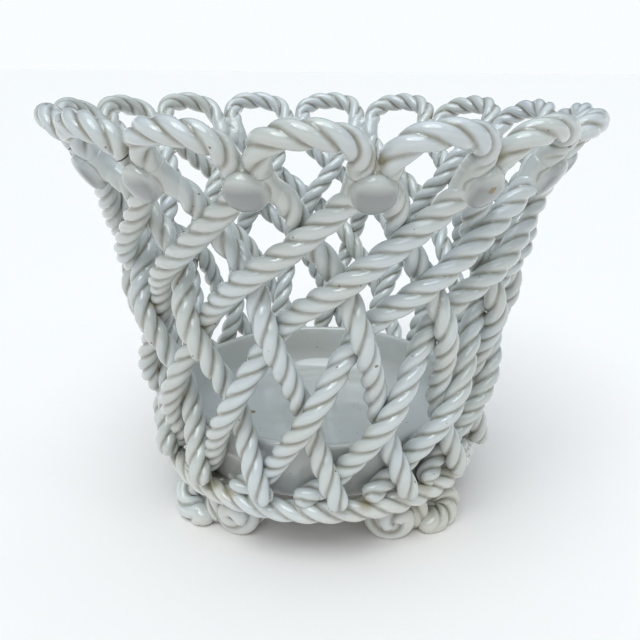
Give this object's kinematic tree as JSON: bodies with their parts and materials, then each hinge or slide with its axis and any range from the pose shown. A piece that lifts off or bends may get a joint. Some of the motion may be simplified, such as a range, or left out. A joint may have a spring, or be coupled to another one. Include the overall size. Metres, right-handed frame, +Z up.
{
  "type": "openwork rope basket",
  "caption": "White glazed ceramic basket of crossed twisted ropes with a looped flared rim, round buttons at the joints, a solid dish inside and knotted rope feet.",
  "frame": {"origin": "centre of the floor that the four feet stand on", "axes": "+Z up along the basket's axis; -Y is the front, midway between two feet, and +X is to the right seen from the front"},
  "size_m": [0.3308, 0.3308, 0.2603],
  "materials": {
    "rope_glaze": "gloss",
    "rim_glaze": "gloss",
    "button_glaze": "gloss",
    "ring_glaze": "gloss",
    "dish_glaze": "gloss",
    "foot_glaze": "gloss"
  },
  "bodies": {
    "root": {"rope_right_01": "rope_glaze", "rope_right_02": "rope_glaze", "rope_right_03": "rope_glaze", "rope_right_04": "rope_glaze", "rope_right_05": "rope_glaze", "rope_right_06": "rope_glaze", "rope_right_07": "rope_glaze", "rope_right_08": "rope_glaze", "rope_right_09": "rope_glaze", "rope_right_10": "rope_glaze", "rope_right_11": "rope_glaze", "rope_right_12": "rope_glaze", "rope_right_13": "rope_glaze", "rope_right_14": "rope_glaze", "rope_right_15": "rope_glaze", "rope_right_16": "rope_glaze", "rope_left_01": "rope_glaze", "rope_left_02": "rope_glaze", "rope_left_03": "rope_glaze", "rope_left_04": "rope_glaze", "rope_left_05": "rope_glaze", "rope_left_06": "rope_glaze", "rope_left_07": "rope_glaze", "rope_left_08": "rope_glaze", "rope_left_09": "rope_glaze", "rope_left_10": "rope_glaze", "rope_left_11": "rope_glaze", "rope_left_12": "rope_glaze", "rope_left_13": "rope_glaze", "rope_left_14": "rope_glaze", "rope_left_15": "rope_glaze", "rope_left_16": "rope_glaze", "rim_loop_01": "rim_glaze", "rim_loop_02": "rim_glaze", "rim_loop_03": "rim_glaze", "rim_loop_04": "rim_glaze", "rim_loop_05": "rim_glaze", "rim_loop_06": "rim_glaze", "rim_loop_07": "rim_glaze", "rim_loop_08": "rim_glaze", "rim_loop_09": "rim_glaze", "rim_loop_10": "rim_glaze", "rim_loop_11": "rim_glaze", "rim_loop_12": "rim_glaze", "rim_loop_13": "rim_glaze", "rim_loop_14": "rim_glaze", "rim_loop_15": "rim_glaze", "rim_loop_16": "rim_glaze", "joint_buttons": "button_glaze", "base_ring": "ring_glaze", "dish": "dish_glaze", "foot_01": "foot_glaze", "foot_02": "foot_glaze", "foot_03": "foot_glaze", "foot_04": "foot_glaze"}
  },
  "joints": []
}
